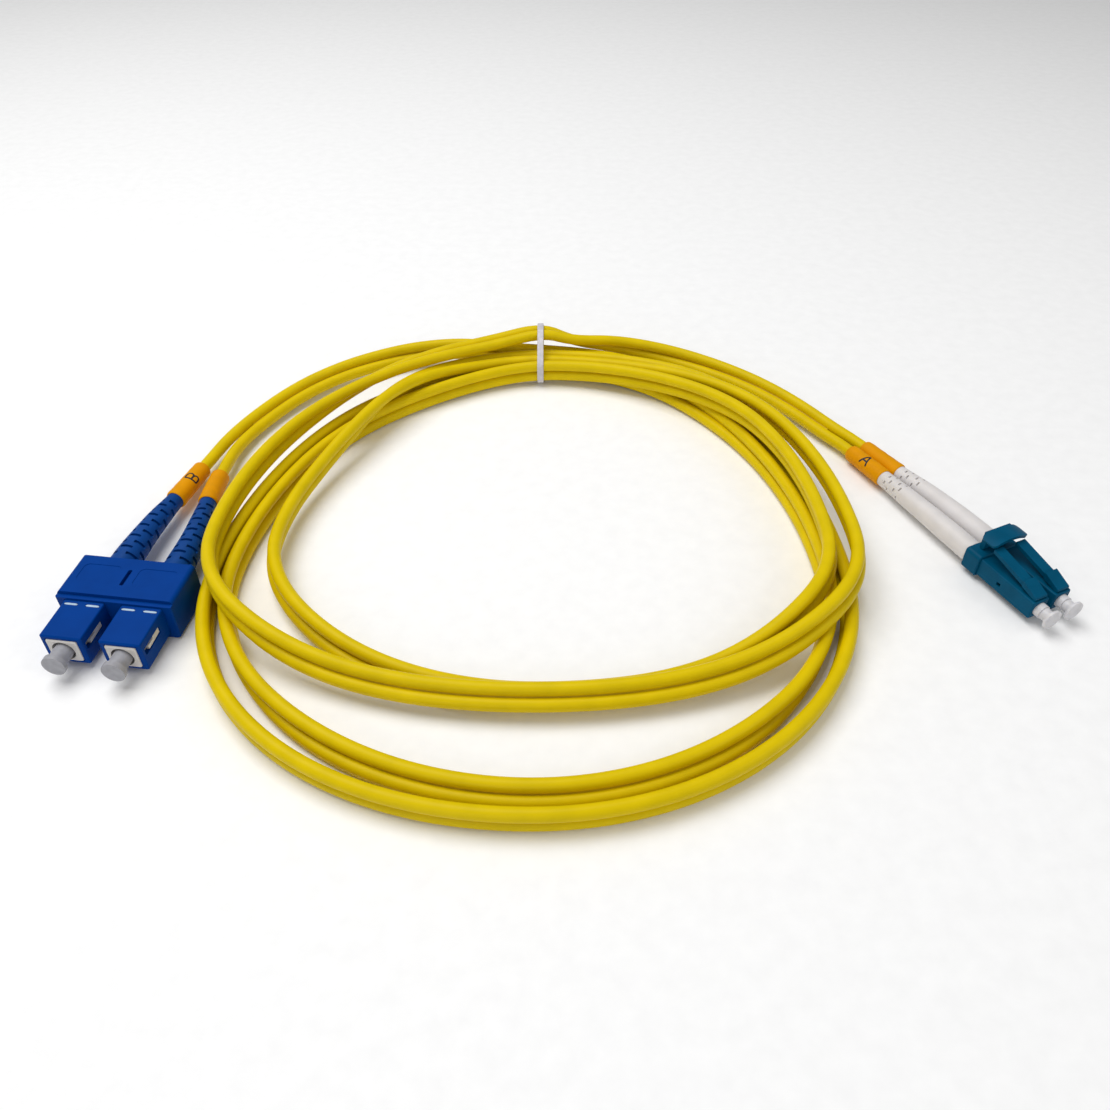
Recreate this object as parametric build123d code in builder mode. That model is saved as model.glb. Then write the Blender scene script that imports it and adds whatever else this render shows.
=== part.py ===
"""Duplex LC to SC fibre optic patch cord, coiled and tied, lying on a table.

Units are millimetres. +Z is up, z = 0 is the table. The SC pair lies on the left (-X) and the LC
pair on the right (+X); the coil lies between them and its tie is at the back (+Y).
"""

import os
from math import asin, cos, degrees, pi, radians, sin, tan

from build123d import *

os.makedirs("parts", exist_ok=True)

# The cord: two round jackets side by side.
JACKET = 3.0
PAIR_GAP = 0.1
BUFFER = 0.9

# The SC pair. "Along" is measured forward from the front face of the plug housings.
SC_AT = (-98.4, -29.6, 5.0)
SC_HEADING = -97.8
SC_PITCH = 12.7
SC_GRIP_W = 9.0
SC_GRIP_H = 7.4
SC_GRIP_LENGTH = 20.5
SC_FRAME_W = 6.7
SC_FRAME_H = 5.6
SC_FERRULE = 2.5
SC_FRAME_REAR = -16.0
SC_FRAME_FRONT = 0.3
SC_CLIP_REAR = -23.3
SC_CLIP_FRONT = -10.5
SC_CLIP_W = 25.7
SC_CLIP_H = 10.0
# The window in each side of the outer housing, and the frame's latch that shows in it.
SC_WINDOW = (-7.6, -1.0)
SC_WINDOW_H = 1.9
SC_WINDOW_UP = 0.7
SC_LATCH = (-7.4, -2.7)
# The two grip marks on top of each outer housing.
SC_MARK_AT = -9.4
SC_MARK_SPREAD = 2.4
SC_MARK_W = 3.0
SC_MARK_LENGTH = 0.6
SC_MARK_DEPTH = 0.3

# The LC pair, measured the same way.
LC_AT = (103.0, -14.4, 3.9)
LC_HEADING = -65.0
LC_PITCH = 6.25
LC_BODY = 4.5
LC_LENGTH = 17.5
LC_FERRULE = 1.25
LC_CLIP_REAR = -20.0
LC_CLIP_FRONT = -15.7
LC_CLIP_W = 12.0
LC_CLIP_WALL = 0.6
LC_BOOT_FRONT = -20.05
LC_LATCH_TAIL = -14.2
LC_ARM_W = 2.6
LC_CATCH_W = 3.3
# The wing over both latches: an arched plate.
WING_REAR = -18.1
WING_LENGTH = 4.1
WING_W = 10.2
WING_TOP = 8.1
WING_RADIUS = 11.45
WING_THICKNESS = 0.8
WING_CORNER = 1.1

# Joint pivots of the LC pair, as (along, height over the plug's axis).
LATCH_PIVOT = (-0.9, 2.8)
TRIGGER_PIVOT = (-18.0, 3.5)

# The tie at the back of the coil, and the bundle that it holds just off the table.
TIE_X = -8.4
TIE_WIDTH = 1.8
TIE_THICKNESS = 0.7
BUNDLE_FRONT = 80.6
BUNDLE_TOP = 11.2
COIL_LIFT = 0.9

# Where the two arms leave the bundle.
ARM_Y = 91.3
ARM_START = 9.0


def plug_end(at, heading):
    """The plane across a connector pair: x to its left, y up and z forward."""
    turn = radians(heading)
    return Plane(
        origin=at,
        x_dir=(-sin(turn), cos(turn), 0),
        z_dir=(cos(turn), sin(turn), 0),
    )


SC_END = plug_end(SC_AT, SC_HEADING)
LC_END = plug_end(LC_AT, LC_HEADING)


def spot(end, along, lateral=0.0, up=0.0):
    """A point of a connector pair, as (x, y, z)."""
    return tuple(end.from_local_coords((lateral, up, along)))


def across(end, along, lateral=0.0, up=0.0):
    """The plane across a plug at a distance along it."""
    return Plane(origin=spot(end, along, lateral, up), x_dir=end.x_dir, z_dir=end.z_dir)


def beside(end, lateral=0.0):
    """The upright plane along a plug: x forward and y up, from the plug's axis."""
    return Plane(origin=spot(end, 0, lateral), x_dir=end.z_dir, z_dir=-end.x_dir)


def above(end, up):
    """The level plane over a connector pair: x forward and y to its left."""
    return Plane(origin=spot(end, 0, 0, up), x_dir=end.z_dir, z_dir=(0, 0, 1))


def front_face(piece, end):
    """The face of a piece that looks forward."""
    return piece.faces().sort_by(Axis(end.origin, end.z_dir))[-1]


def rear_face(piece, end):
    """The face of a piece that looks back."""
    return piece.faces().sort_by(Axis(end.origin, end.z_dir))[0]


def save(piece, name):
    """Labels a finished piece and writes it."""
    piece.part.label = name
    export_step(piece.part, f"parts/{name}.step")


def turned(name, end, lateral, steps, bores):
    """A round piece on a plug's axis; steps and bores are (rear, front, diameter)."""
    with BuildPart() as piece:
        for rear, front, diameter in steps:
            with BuildSketch(across(end, rear, lateral)):
                Circle(diameter / 2)
            extrude(amount=front - rear)
        for rear, front, diameter in bores:
            with BuildSketch(across(end, rear, lateral)):
                Circle(diameter / 2)
            extrude(amount=front - rear, mode=Mode.SUBTRACT)
    save(piece, name)


def spring(name, end, lateral, rear, front, radius, wire, turns):
    """A compression spring round a plug's axis."""
    length = front - rear - wire
    with BuildPart() as piece:
        with BuildLine() as coil:
            Helix(
                pitch=length / turns,
                height=length,
                radius=radius,
                center=spot(end, rear + wire / 2, lateral),
                direction=end.z_dir,
            )
        with BuildSketch(Plane(origin=coil.line @ 0, z_dir=coil.line % 0)):
            Circle(wire / 2)
        sweep()
    save(piece, name)


def planes_along(points):
    """The planes across a route at its points."""
    places = [Vector(*point) for point in points]
    runs = [(b - a).normalized() for a, b in zip(places, places[1:])]
    facing = [runs[0], *((a + b).normalized() for a, b in zip(runs, runs[1:])), runs[-1]]
    return [Plane(origin=place, z_dir=run) for place, run in zip(places, facing)]


def bend_radii(points):
    """The largest radius that the two runs at each corner leave room for."""
    places = [Vector(*point) for point in points]
    radii = []
    for before, corner, after in zip(places, places[1:], places[2:]):
        run_in = corner - before
        run_out = after - corner
        half_turn = radians(run_in.get_angle(run_out)) / 2
        radii.append(0.45 * min(run_in.length, run_out.length) / tan(half_turn))
    return radii


def jacket(name, points):
    """One jacket of the cord along its route, as straight runs joined by arcs."""
    radii = bend_radii(points)
    with BuildPart() as piece:
        with BuildLine() as route:
            FilletPolyline(*points, radius=radii)
        with BuildSketch(Plane(origin=route.line @ 0, z_dir=route.line % 0)):
            Circle(JACKET / 2)
        sweep()
    save(piece, name)
    length = sum(edge.length for edge in route.line.edges())
    share = piece.part.volume / (pi * JACKET**2 / 4 * length)
    print(f"{name}: {length:.1f} mm, radii {[round(r, 1) for r in radii]}, volume share {share:.4f}")


# ---------------------------------------------------------------------------------------------
# The SC pair
# ---------------------------------------------------------------------------------------------


def sc_outer_housing(name, lateral):
    """The square grip that slides over the plug frame, with its key underneath."""
    cavity_length = 16.2
    rear_bore = 6.9
    clearance = 0.2
    key_width = 2.1
    key_height = 1.1
    key_length = 8.0
    key_rear = -9.9
    key_up = -SC_GRIP_H / 2 - 0.35
    with BuildPart() as piece:
        with BuildSketch(across(SC_END, -SC_GRIP_LENGTH, lateral)):
            RectangleRounded(SC_GRIP_W, SC_GRIP_H, radius=0.4)
        extrude(amount=SC_GRIP_LENGTH)
        chamfer(front_face(piece, SC_END).edges(), length=0.3)
        with BuildSketch(across(SC_END, -cavity_length, lateral)):
            Rectangle(SC_FRAME_W + clearance, SC_FRAME_H + clearance)
        extrude(amount=cavity_length, mode=Mode.SUBTRACT)
        with BuildSketch(across(SC_END, -SC_GRIP_LENGTH, lateral)):
            Circle(rear_bore / 2)
        extrude(amount=SC_GRIP_LENGTH - cavity_length, mode=Mode.SUBTRACT)
        # The key that sets which way up the plug goes in.
        with BuildSketch(across(SC_END, key_rear, lateral, key_up)):
            Rectangle(key_width, key_height)
        extrude(amount=key_length)
        # A window in each side wall shows the plug frame.
        rear, front = SC_WINDOW
        with BuildSketch(beside(SC_END, lateral)):
            with Locations(((rear + front) / 2, SC_WINDOW_UP)):
                RectangleRounded(front - rear, SC_WINDOW_H, radius=0.3)
        extrude(amount=SC_GRIP_W, both=True, mode=Mode.SUBTRACT)
        # Two shallow marks on top, just ahead of the clip.
        with BuildSketch(above(SC_END, SC_GRIP_H / 2 - SC_MARK_DEPTH)):
            with Locations(
                (SC_MARK_AT, lateral - SC_MARK_SPREAD),
                (SC_MARK_AT, lateral + SC_MARK_SPREAD),
            ):
                Rectangle(SC_MARK_LENGTH, SC_MARK_W)
        extrude(amount=SC_MARK_DEPTH + 0.1, mode=Mode.SUBTRACT)
    save(piece, name)


def sc_plug_frame(name, lateral):
    """The inner frame that holds the ferrule; its web stops the ferrule's flange."""
    web_front = -6.8
    web_rear = -7.4
    nose_bore = 4.9
    web_bore = 3.0
    rear_bore = 4.7
    latch_low = SC_WINDOW_UP - 0.75
    latch_low_rear = SC_WINDOW_UP - 0.55
    latch_top = SC_WINDOW_UP + 0.2
    latch_top_rear = SC_WINDOW_UP + 0.75
    latch_reach = SC_GRIP_W / 2 - 0.15
    detent_at = -11.5
    detent_length = 2.4
    detent_height = 1.4
    detent_depth = 0.4
    with BuildPart() as piece:
        with BuildSketch(across(SC_END, SC_FRAME_REAR, lateral)):
            RectangleRounded(SC_FRAME_W, SC_FRAME_H, radius=0.5)
        extrude(amount=SC_FRAME_FRONT - SC_FRAME_REAR)
        chamfer(front_face(piece, SC_END).edges(), length=0.25)
        # The latch on each side, which shows in the housing's window, is higher at its rear.
        rear, front = SC_LATCH
        middle = rear + 0.55 * (front - rear)
        with BuildSketch(beside(SC_END, lateral)):
            with BuildLine():
                Polyline(
                    (rear, latch_low_rear),
                    (front, latch_low),
                    (front, latch_top),
                    (middle, latch_top),
                    (middle, latch_top_rear),
                    (rear, latch_top_rear),
                    close=True,
                )
            make_face()
        extrude(amount=latch_reach, both=True)
        for bore_rear, bore_front, bore in (
            (web_front, SC_FRAME_FRONT, nose_bore),
            (web_rear, web_front + 0.4, web_bore),
            (SC_FRAME_REAR, web_rear, rear_bore),
        ):
            with BuildSketch(across(SC_END, bore_rear, lateral)):
                Circle(bore / 2)
            extrude(amount=bore_front - bore_rear, mode=Mode.SUBTRACT)
        # Detents in the side walls that the outer housing clicks over.
        with BuildSketch(above(SC_END, -detent_height / 2)):
            with Locations(
                (detent_at, lateral - SC_FRAME_W / 2),
                (detent_at, lateral + SC_FRAME_W / 2),
            ):
                Rectangle(detent_length, 2 * detent_depth)
        extrude(amount=detent_height, mode=Mode.SUBTRACT)
    save(piece, name)


def sc_duplex_clip():
    """The clip that holds the two SC plugs side by side."""
    clearance = 0.1
    boot_hole = 7.3
    boot_hole_depth = 5.0
    step_length = 1.1
    step_height = 0.8
    slot_at = -17.3
    slot_depth = 0.9
    panel_at = -17.8
    panel_depth = 0.1
    over = 0.1
    with BuildPart() as piece:
        with BuildSketch(across(SC_END, SC_CLIP_REAR)):
            RectangleRounded(SC_CLIP_W, SC_CLIP_H, radius=1.0)
        extrude(amount=SC_CLIP_FRONT - SC_CLIP_REAR)
        chamfer(front_face(piece, SC_END).edges(), length=0.25)
        chamfer(rear_face(piece, SC_END).edges(), length=0.25)
        with BuildSketch(across(SC_END, -SC_GRIP_LENGTH - clearance / 2)):
            with GridLocations(SC_PITCH, 0, 2, 1):
                Rectangle(SC_GRIP_W + clearance, SC_GRIP_H + clearance)
        extrude(amount=SC_GRIP_LENGTH, mode=Mode.SUBTRACT)
        with BuildSketch(across(SC_END, SC_CLIP_REAR)):
            with GridLocations(SC_PITCH, 0, 2, 1):
                Circle(boot_hole / 2)
        extrude(amount=boot_hole_depth, mode=Mode.SUBTRACT)
        # The top plate ends short of the front, so that its edge shows as a step.
        with BuildSketch(beside(SC_END)):
            with Locations((SC_CLIP_FRONT, SC_CLIP_H / 2)):
                Rectangle(2 * step_length, 2 * step_height)
        extrude(amount=SC_CLIP_W, both=True, mode=Mode.SUBTRACT)
        # The slot in the middle of the top, and the shallow panel on each side of it.
        with BuildSketch(above(SC_END, SC_CLIP_H / 2 - slot_depth)):
            with Locations((slot_at, 0)):
                RectangleRounded(4.8, 0.9, radius=0.3)
        extrude(amount=slot_depth + over, mode=Mode.SUBTRACT)
        with BuildSketch(above(SC_END, SC_CLIP_H / 2 - panel_depth)):
            with Locations((panel_at, -SC_PITCH / 2), (panel_at, SC_PITCH / 2)):
                RectangleRounded(5.4, 8.6, radius=1.2)
        extrude(amount=panel_depth + over, mode=Mode.SUBTRACT)
    save(piece, "sc_duplex_clip")


# The route of each jacket inside its boot and marker sleeve, as (along, lateral, up).
SC_ROUTES = {
    "a": [
        (-23.0, -6.35, 0),
        (-31.0, -6.35, 0),
        (-42.0, -5.95, -0.25),
        (-52.0, -5.0, -0.8),
        (-68.0, -4.1, -1.8),
    ],
    "b": [
        (-23.0, 6.35, 0),
        (-31.0, 6.35, 0),
        (-42.0, 4.9, -0.25),
        (-52.0, 2.8, -0.8),
        (-68.0, 0.7, -1.8),
    ],
}
LC_ROUTES = {
    "a": [
        (-23.0, -3.125, 0),
        (-31.0, -3.125, 0),
        (-42.0, -3.05, -0.2),
        (-53.0, -2.9, -0.6),
        (-67.5, -2.85, -1.2),
    ],
    "b": [
        (-23.0, 3.125, 0),
        (-31.0, 3.125, 0),
        (-42.0, 2.7, -0.2),
        (-53.0, 1.8, -0.6),
        (-67.5, 1.5, -1.2),
    ],
}

# The marker sleeves, which lap over the boots' tails.
SC_SLEEVES = {"a": 14.0, "b": 12.0}
LC_SLEEVE = 13.0
SLEEVE_LAP = 1.5
SLEEVE_BORE = 3.5
SC_SOCKET = 4.4
LC_SOCKET = 4.15


def end_route(end, route):
    """A jacket's route inside its boot and sleeve, as points of the whole part."""
    return [spot(end, along, lateral, up) for along, lateral, up in route]


def boot(name, end, route, front, collar, widths, collar_bore, tail_bore):
    """A strain relief boot: a straight collar over the crimp sleeve, then a tail along the jacket."""
    points = end_route(end, route)
    lateral = route[0][1]
    crimp_end = -27.2
    with BuildPart() as piece:
        outside = planes_along([spot(end, front, lateral), *points[1:4]])
        for plane, width in zip(outside, [collar, *widths]):
            with BuildSketch(plane):
                Circle(width / 2)
        loft(ruled=True)
        for plane in planes_along([spot(end, crimp_end, lateral), *points[1:4]]):
            with BuildSketch(plane):
                Circle(tail_bore / 2)
        loft(ruled=True, mode=Mode.SUBTRACT)
        with BuildSketch(across(end, crimp_end, lateral)):
            Circle(collar_bore / 2)
        extrude(amount=front - crimp_end, mode=Mode.SUBTRACT)
    save(piece, name)


def marker_sleeve(name, end, route, length, rear_width, front_width, socket):
    """The orange polarity sleeve, pushed over the boot's tail."""
    points = end_route(end, route)
    tail = Vector(*points[3])
    ahead = (tail - Vector(*points[4])).normalized()
    front = tail + ahead * SLEEVE_LAP
    rear = front - ahead * length
    with BuildPart() as piece:
        for place, width in ((rear, rear_width), (front, front_width)):
            with BuildSketch(Plane(origin=place, z_dir=ahead)):
                Circle(width / 2)
        loft(ruled=True)
        with BuildSketch(Plane(origin=rear, z_dir=ahead)):
            Circle(SLEEVE_BORE / 2)
        extrude(amount=length, mode=Mode.SUBTRACT)
        with BuildSketch(Plane(origin=tail - ahead * 0.3, z_dir=ahead)):
            Circle(socket / 2)
        extrude(amount=SLEEVE_LAP + 0.5, mode=Mode.SUBTRACT)
    save(piece, name)


for letter, side in (("a", -1), ("b", 1)):
    lateral = side * SC_PITCH / 2
    sc_outer_housing(f"sc_outer_housing_{letter}", lateral)
    sc_plug_frame(f"sc_plug_frame_{letter}", lateral)
    turned(f"sc_ferrule_{letter}", SC_END, lateral, [(-9.6, 1.9, SC_FERRULE)], [(-9.6, 1.9, 0.3)])
    turned(
        f"sc_ferrule_flange_{letter}",
        SC_END,
        lateral,
        [(-9.2, -7.45, 4.4), (-12.5, -9.2, 3.0)],
        [(-9.6, -7.45, SC_FERRULE), (-12.5, -9.6, 1.1)],
    )
    spring(f"sc_spring_{letter}", SC_END, lateral, -14.2, -9.3, 1.85, 0.4, 4)
    turned(
        f"sc_stop_ring_{letter}",
        SC_END,
        lateral,
        [(-16.1, -14.3, 4.6), (-18.0, -16.1, 5.6), (-22.6, -18.0, 3.9)],
        [(-16.6, -14.3, 3.3), (-22.6, -16.6, 1.3)],
    )
    turned(
        f"sc_crimp_sleeve_{letter}",
        SC_END,
        lateral,
        [(-23.2, -18.1, 4.8), (-27.0, -23.2, 3.9)],
        [(-22.7, -18.1, 3.95), (-27.0, -22.7, JACKET + 0.05)],
    )
    turned(f"sc_buffered_fibre_{letter}", SC_END, lateral, [(-23.0, -11.8, BUFFER)], [])
    boot(
        f"sc_boot_{letter}",
        SC_END,
        SC_ROUTES[letter],
        front=-19.0,
        collar=6.6,
        widths=(6.4, 5.2, 3.8),
        collar_bore=5.0,
        tail_bore=3.3,
    )
    turned(
        f"sc_dust_cap_{letter}",
        SC_END,
        lateral,
        [(-4.6, 3.6, 3.9), (3.5, 4.6, 5.0)],
        [(-4.6, 2.6, SC_FERRULE + 0.05)],
    )
    marker_sleeve(
        f"sc_marker_sleeve_{letter}",
        SC_END,
        SC_ROUTES[letter],
        length=SC_SLEEVES[letter],
        rear_width=4.5,
        front_width=4.9,
        socket=SC_SOCKET,
    )
sc_duplex_clip()

# ---------------------------------------------------------------------------------------------
# The LC pair
# ---------------------------------------------------------------------------------------------


def lc_housing(name, lateral):
    """The square housing of one LC plug."""
    side = 1 if lateral > 0 else -1
    web_front = -5.0
    web_rear = -5.7
    bore = 3.4
    web_bore = 2.0
    with BuildPart() as piece:
        with BuildSketch(across(LC_END, -LC_LENGTH, lateral)):
            RectangleRounded(LC_BODY, LC_BODY, radius=0.3)
        extrude(amount=LC_LENGTH)
        chamfer(front_face(piece, LC_END).edges(), length=0.25)
        for bore_rear, bore_front, width in (
            (web_front, 0, bore),
            (web_rear, web_front + 0.3, web_bore),
            (-LC_LENGTH, web_rear, bore),
        ):
            with BuildSketch(across(LC_END, bore_rear, lateral)):
                Circle(width / 2)
            extrude(amount=bore_front - bore_rear, mode=Mode.SUBTRACT)
        # The hole in the outer side wall that the backbone snaps into.
        with BuildSketch(beside(LC_END, lateral)):
            with Locations((-9.6, -0.2)):
                Rectangle(1.1, 0.9)
        extrude(amount=-side * LC_BODY, mode=Mode.SUBTRACT)
    save(piece, name)


def lc_latch(name, lateral):
    """The latch of one LC plug: a catch on its ramp, and an arm that rises to the rear."""
    along, up = LATCH_PIVOT
    root = 0.5
    tail_low = 5.13
    tail_top = 6.0
    catch_rear = -4.7
    arm_top = 4.15
    catch_top = 4.8
    with BuildPart() as piece:
        with BuildSketch(beside(LC_END, lateral)):
            with BuildLine():
                Polyline(
                    (along, up - root),
                    (LC_LATCH_TAIL, tail_low),
                    (LC_LATCH_TAIL, tail_top),
                    (catch_rear, arm_top),
                    (catch_rear, catch_top),
                    (along, up + root),
                )
                CenterArc((along, up), root, 90, -180)
            make_face()
        extrude(amount=LC_ARM_W / 2, both=True)
        # The catch and its ramp are wider than the arm.
        with BuildSketch(beside(LC_END, lateral)):
            with BuildLine():
                Polyline(
                    (along, up - root),
                    (catch_rear, up + 0.45),
                    (catch_rear, catch_top),
                    (along, up + root),
                )
                CenterArc((along, up), root, 90, -180)
            make_face()
        extrude(amount=LC_CATCH_W / 2, both=True)
    save(piece, name)


def lc_duplex_clip():
    """The clip round the rear of both LC plugs."""
    height = LC_BODY + 2 * LC_CLIP_WALL
    clearance = 0.1
    with BuildPart() as piece:
        with BuildSketch(across(LC_END, LC_CLIP_REAR)):
            RectangleRounded(LC_CLIP_W, height, radius=1.0)
        extrude(amount=LC_CLIP_FRONT - LC_CLIP_REAR)
        chamfer(front_face(piece, LC_END).edges(), length=0.2)
        chamfer(rear_face(piece, LC_END).edges(), length=0.2)
        with BuildSketch(across(LC_END, LC_CLIP_REAR)):
            with GridLocations(LC_PITCH, 0, 2, 1):
                Rectangle(LC_BODY + clearance, LC_BODY + clearance)
        extrude(amount=LC_CLIP_FRONT - LC_CLIP_REAR, mode=Mode.SUBTRACT)
    save(piece, "lc_duplex_clip")


def lc_trigger():
    """The wing over both latches, on a neck that bends where it meets the clip."""
    along, up = TRIGGER_PIVOT
    half_neck = 0.6
    half_width = 3.6
    centre = WING_TOP - WING_RADIUS
    spread = degrees(asin(WING_W / 2 / WING_RADIUS))
    neck_top = WING_TOP - WING_THICKNESS + 0.2
    with BuildPart() as piece:
        with BuildSketch(across(LC_END, WING_REAR)):
            with BuildLine():
                top = CenterArc((0, centre), WING_RADIUS, 90 - spread, 2 * spread)
                under = CenterArc(
                    (0, centre), WING_RADIUS - WING_THICKNESS, 90 - spread, 2 * spread
                )
                Line(top @ 0, under @ 0)
                Line(top @ 1, under @ 1)
            make_face()
        extrude(amount=WING_LENGTH)
        corners = [edge for edge in piece.edges() if abs(edge.length - WING_THICKNESS) < 0.01]
        fillet(corners, radius=WING_CORNER)
        with BuildSketch(beside(LC_END)):
            with BuildLine():
                Polyline(
                    (along + half_neck, up),
                    (along + half_neck, neck_top),
                    (along - half_neck, neck_top),
                    (along - half_neck, up),
                )
                CenterArc((along, up), half_neck, 180, 180)
            make_face()
        extrude(amount=half_width, both=True)
    save(piece, "lc_trigger")


for letter, side in (("a", -1), ("b", 1)):
    lateral = side * LC_PITCH / 2
    lc_housing(f"lc_housing_{letter}", lateral)
    lc_latch(f"lc_latch_{letter}", lateral)
    turned(f"lc_ferrule_{letter}", LC_END, lateral, [(-8.6, 0.4, LC_FERRULE)], [(-8.6, 0.4, 0.25)])
    turned(
        f"lc_ferrule_flange_{letter}",
        LC_END,
        lateral,
        [(-6.9, -5.75, 3.2), (-9.6, -6.9, 1.8)],
        [(-8.6, -5.75, LC_FERRULE), (-9.6, -8.6, 1.1)],
    )
    spring(f"lc_spring_{letter}", LC_END, lateral, -11.65, -6.95, 1.15, 0.3, 4)
    turned(
        f"lc_backbone_{letter}",
        LC_END,
        lateral,
        [(-17.6, -11.7, 3.3), (-19.4, -17.6, 4.3), (-22.6, -19.4, 3.0)],
        [(-13.6, -11.7, 2.0), (-22.6, -13.6, 1.2)],
    )
    turned(
        f"lc_crimp_sleeve_{letter}",
        LC_END,
        lateral,
        [(-27.0, -19.5, 4.1)],
        [(-27.0, -19.5, JACKET + 0.05)],
    )
    turned(f"lc_buffered_fibre_{letter}", LC_END, lateral, [(-23.0, -10.3, BUFFER)], [])
    boot(
        f"lc_boot_{letter}",
        LC_END,
        LC_ROUTES[letter],
        front=LC_BOOT_FRONT,
        collar=5.4,
        widths=(5.3, 4.8, 3.8),
        collar_bore=4.3,
        tail_bore=3.3,
    )
    turned(
        f"lc_dust_cap_{letter}",
        LC_END,
        lateral,
        [(-3.2, 1.4, 3.3), (1.4, 3.4, 2.8), (3.0, 3.4, 3.6), (3.4, 3.9, 4.7)],
        [(-3.2, 1.5, LC_FERRULE + 0.05)],
    )
    marker_sleeve(
        f"lc_marker_sleeve_{letter}",
        LC_END,
        LC_ROUTES[letter],
        length=LC_SLEEVE,
        rear_width=4.3,
        front_width=4.6,
        socket=LC_SOCKET,
    )
lc_duplex_clip()
lc_trigger()

# ---------------------------------------------------------------------------------------------
# The cord: a coil of four loops, and an arm of two jackets to each connector pair
# ---------------------------------------------------------------------------------------------

# The middle of each arm from the tie outwards, as (x, y, z, lean), where the lean is how far the
# outer jacket has rolled from over the inner one towards the outside of the bend, in degrees.
SC_ARM = [
    (TIE_X - ARM_START - 0.3, ARM_Y, 4.2, 0),
    (-31.0, 92.8, 4.9, 15),
    (-45.0, 91.2, 4.5, 30),
    (-57.0, 86.4, 4.1, 45),
    (-67.2, 80.2, 3.7, 55),
    (-76.6, 71.0, 3.3, 60),
    (-84.2, 58.8, 3.0, 60),
]
LC_ARM = [
    (TIE_X + ARM_START + 0.3, ARM_Y, 4.2, 0),
    (13.5, 92.0, 4.9, 15),
    (27.2, 89.1, 4.7, 30),
    (40.0, 83.0, 4.3, 45),
    (51.8, 74.4, 3.9, 55),
    (61.4, 63.8, 3.5, 60),
    (69.2, 51.8, 3.2, 65),
]
# Where each jacket runs on its own between the arm and its marker sleeve.
SC_LEGS = {"a": [(-90.4, 48.7, 3.5)], "b": [(-87.3, 47.2, 2.7)]}


def arm_jacket(arm, outer):
    """The route of one jacket of an arm, beside the other."""
    middle = [Vector(x, y, z) for x, y, z, _ in arm]
    flat = [Vector(a.X, a.Y, 0) for a in middle]
    runs = [(b - a).normalized() for a, b in zip(flat, flat[1:])]
    ahead = [runs[0], *((a + b).normalized() for a, b in zip(runs, runs[1:])), runs[-1]]
    reach = (JACKET + PAIR_GAP) / 2 * (1 if outer else -1)
    hand = 1 if middle[0].X > middle[-1].X else -1
    points = []
    for place, run, (_, _, _, lean) in zip(middle, ahead, arm):
        outward = Vector(run.Y, -run.X, 0) * hand
        tilt = radians(lean)
        offset = outward * (reach * sin(tilt)) + Vector(0, 0, reach * cos(tilt))
        points.append(tuple(place + offset))
    return points


for letter in ("a", "b"):
    jacket(
        f"sc_lead_{letter}",
        end_route(SC_END, SC_ROUTES[letter])
        + SC_LEGS[letter]
        + arm_jacket(SC_ARM, letter == "a")[::-1],
    )
    jacket(
        f"lc_lead_{letter}",
        end_route(LC_END, LC_ROUTES[letter]) + arm_jacket(LC_ARM, letter == "b")[::-1],
    )


def outline(left, right, widest_left, widest_right, front, back):
    """The closed outline of a layer of loops, as four quarter ellipses that meet at the tie."""
    left_reach = TIE_X - left
    right_reach = right - TIE_X
    left_middle = (TIE_X, widest_left)
    right_middle = (TIE_X, widest_right)
    EllipticalCenterArc(left_middle, left_reach, back - widest_left, 90, arc_size=90)
    EllipticalCenterArc(left_middle, left_reach, widest_left - front, 180, arc_size=90)
    EllipticalCenterArc(right_middle, right_reach, widest_right - front, 270, arc_size=90)
    EllipticalCenterArc(right_middle, right_reach, back - widest_right, 0, arc_size=90)


def ring(outer, inner, height):
    """A layer of loops between two outlines, up to a height."""
    with BuildSketch() as layer:
        with BuildLine():
            outline(*outer)
        make_face()
        with BuildLine():
            outline(*inner)
        make_face(mode=Mode.SUBTRACT)
    extrude(layer.sketch, amount=height)


def coil():
    """The coil's outer shape: the low loops, the loops laid over them, and the arms' stretch."""
    low_top = 6.2
    high_top = 11.0
    arms_top = 7.4
    # The top over the front of the upper loops, seen from the side as (y, z).
    front_slope = [(-73, 7.0), (-28, 7.0), (12, 15), (-73, 15)]
    tie_gap_depth = 20
    half_span = 100
    with BuildPart() as piece:
        ring(
            outer=(-81.8, 62.6, -6.8, -4.8, -69.3, 89.8),
            inner=(-74.2, 55.1, -2.8, -2.8, -59.6, 80.8),
            height=low_top,
        )
        ring(
            outer=(-83.0, 65.3, 2.2, 2.2, -45.0, 89.8),
            inner=(-65.4, 54.9, 3.2, 3.2, -38.8, 83.8),
            height=high_top,
        )
        # The loops on top come down to the table at the front.
        with BuildSketch(Plane.YZ.offset(-half_span)):
            with BuildLine():
                Polyline(*front_slope, close=True)
            make_face()
        extrude(amount=2 * half_span, mode=Mode.SUBTRACT)
        # Where the two arms pass through the tie.
        with BuildSketch(Plane.YZ.offset(TIE_X - ARM_START)):
            with Locations((ARM_Y - 0.4, (COIL_LIFT + arms_top) / 2)):
                Rectangle(JACKET + 1.0, arms_top - COIL_LIFT)
        extrude(amount=2 * ARM_START)
        # The tie passes under the bundle.
        with BuildSketch(Plane.YZ.offset(TIE_X - TIE_WIDTH)):
            with Locations(((BUNDLE_FRONT + ARM_Y) / 2, 0)):
                Rectangle(tie_gap_depth, 2 * COIL_LIFT)
        extrude(amount=2 * TIE_WIDTH, mode=Mode.SUBTRACT)
    save(piece, "coil")


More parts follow.
